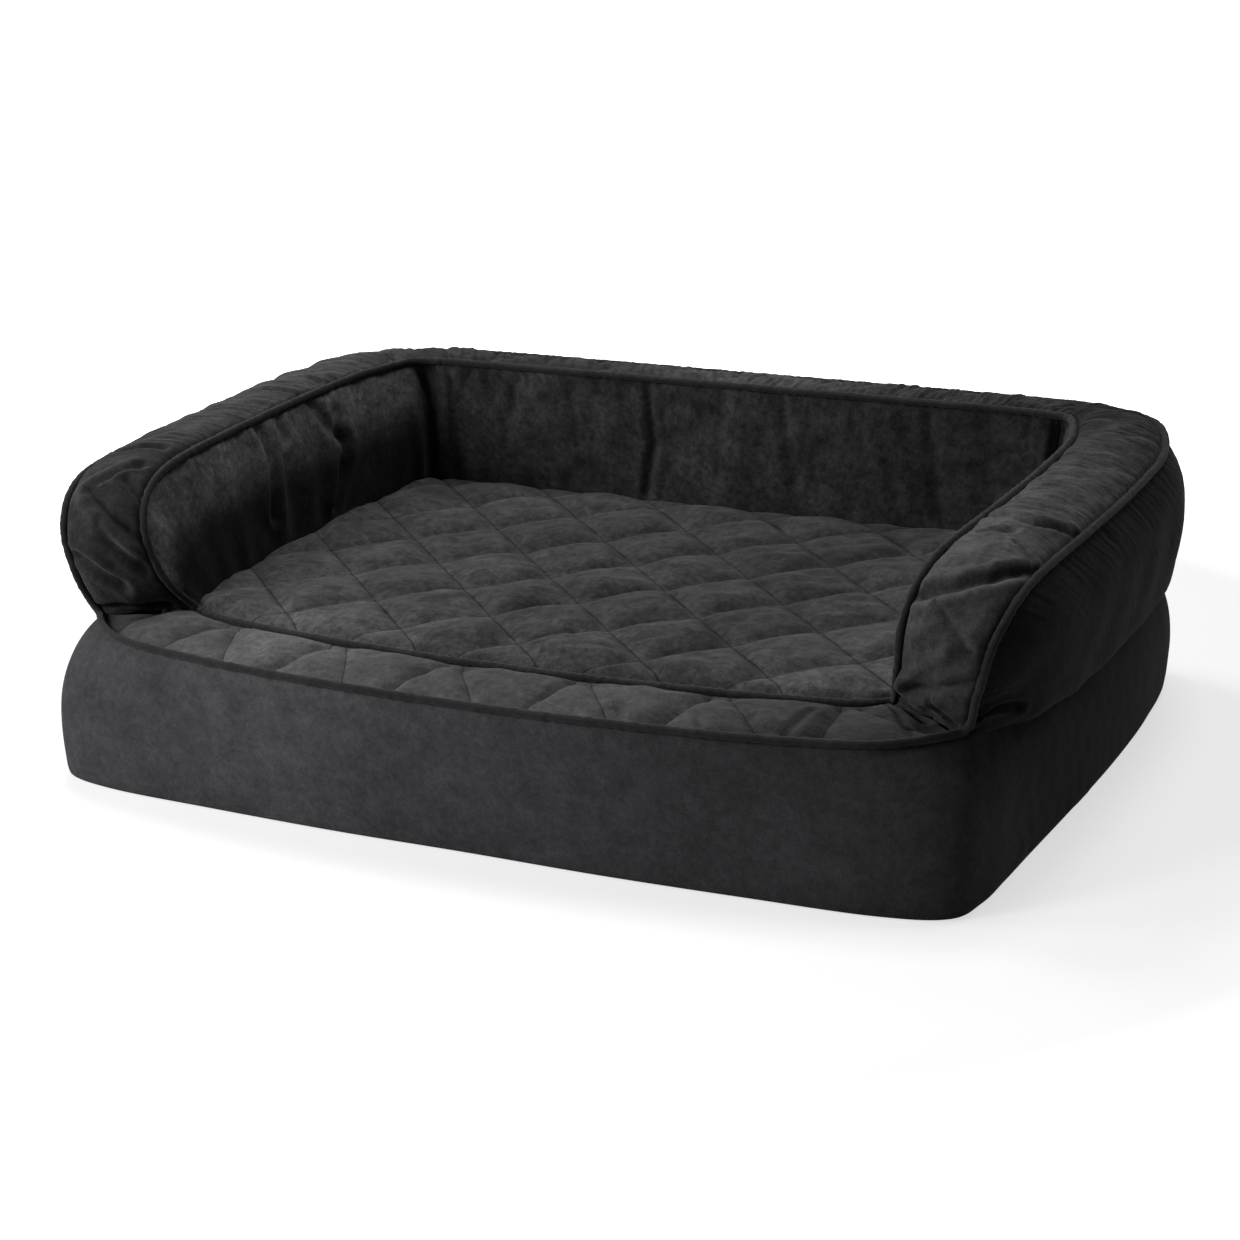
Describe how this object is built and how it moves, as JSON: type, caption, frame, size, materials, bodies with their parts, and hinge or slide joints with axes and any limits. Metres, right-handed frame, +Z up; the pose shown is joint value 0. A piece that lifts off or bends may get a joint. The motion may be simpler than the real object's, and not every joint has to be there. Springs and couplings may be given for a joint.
{
  "type": "dog sofa bed",
  "caption": "Rectangular dog sofa bed: a boxed foam base with a quilted sleeping panel and a low stuffed bolster along the back and both sides, in a zipped velvet cover.",
  "frame": {"origin": "centre of the bed's bounding box on the floor", "axes": "+X to the right seen from the front, +Y to the back, +Z up"},
  "size_m": [0.9842, 0.6962, 0.2838],
  "materials": {
    "support_foam": "open-cell polyurethane foam, grey",
    "memory_foam": "soft viscoelastic foam, cream",
    "liner": "coated waterproof cloth, slightly glossy",
    "grip_cloth": "black non-slip cloth with small rubber dots",
    "inner_cloth": "plain white lining cloth",
    "fibre": "polyester fibre filling",
    "quilted_velvet": "charcoal velvet, diamond quilted",
    "plain_velvet": "charcoal velvet, soft nap",
    "border_velvet": "charcoal velvet, nap brushed down",
    "piping_velvet": "charcoal velvet over cord",
    "zip_tape": "woven black tape",
    "zip_nylon": "black nylon",
    "zip_metal": "black enamelled zinc"
  },
  "bodies": {
    "bed": {"support_foam_slab": "support_foam", "memory_foam_slab": "memory_foam", "foam_liner": "liner", "bottom_panel": "grip_cloth", "chamber_floor": "inner_cloth", "left_arm_filling": "fibre", "back_filling": "fibre", "right_arm_filling": "fibre", "sleep_panel": "quilted_velvet", "front_lip": "quilted_velvet", "left_arm_top": "quilted_velvet", "back_top": "quilted_velvet", "right_arm_top": "quilted_velvet", "left_arm_inner": "plain_velvet", "back_inner": "plain_velvet", "right_arm_inner": "plain_velvet", "left_arm_outer": "plain_velvet", "back_outer": "plain_velvet", "right_arm_outer": "plain_velvet", "border_wrap": "border_velvet", "back_border": "border_velvet", "inner_piping": "piping_velvet", "outer_piping": "piping_velvet", "zip_tape_upper": "zip_tape", "zip_tape_lower": "zip_tape", "zip_chain": "zip_nylon", "zip_end_stops": "zip_nylon", "zip_garage": "border_velvet"},
    "slider": {"zip_slider": "zip_metal"},
    "pull": {"zip_pull": "zip_metal"}
  },
  "joints": [
    {"name": "zip_slide", "type": "slide", "parent": "bed", "child": "slider", "axis": [1, 0, 0], "range_m": [0, 0.525]},
    {"name": "pull_swing", "type": "hinge", "parent": "slider", "child": "pull", "pos_m": [-0.2626, 0.33739, 0.04], "axis": [0, 0, 1], "range_deg": [0, 160]}
  ]
}
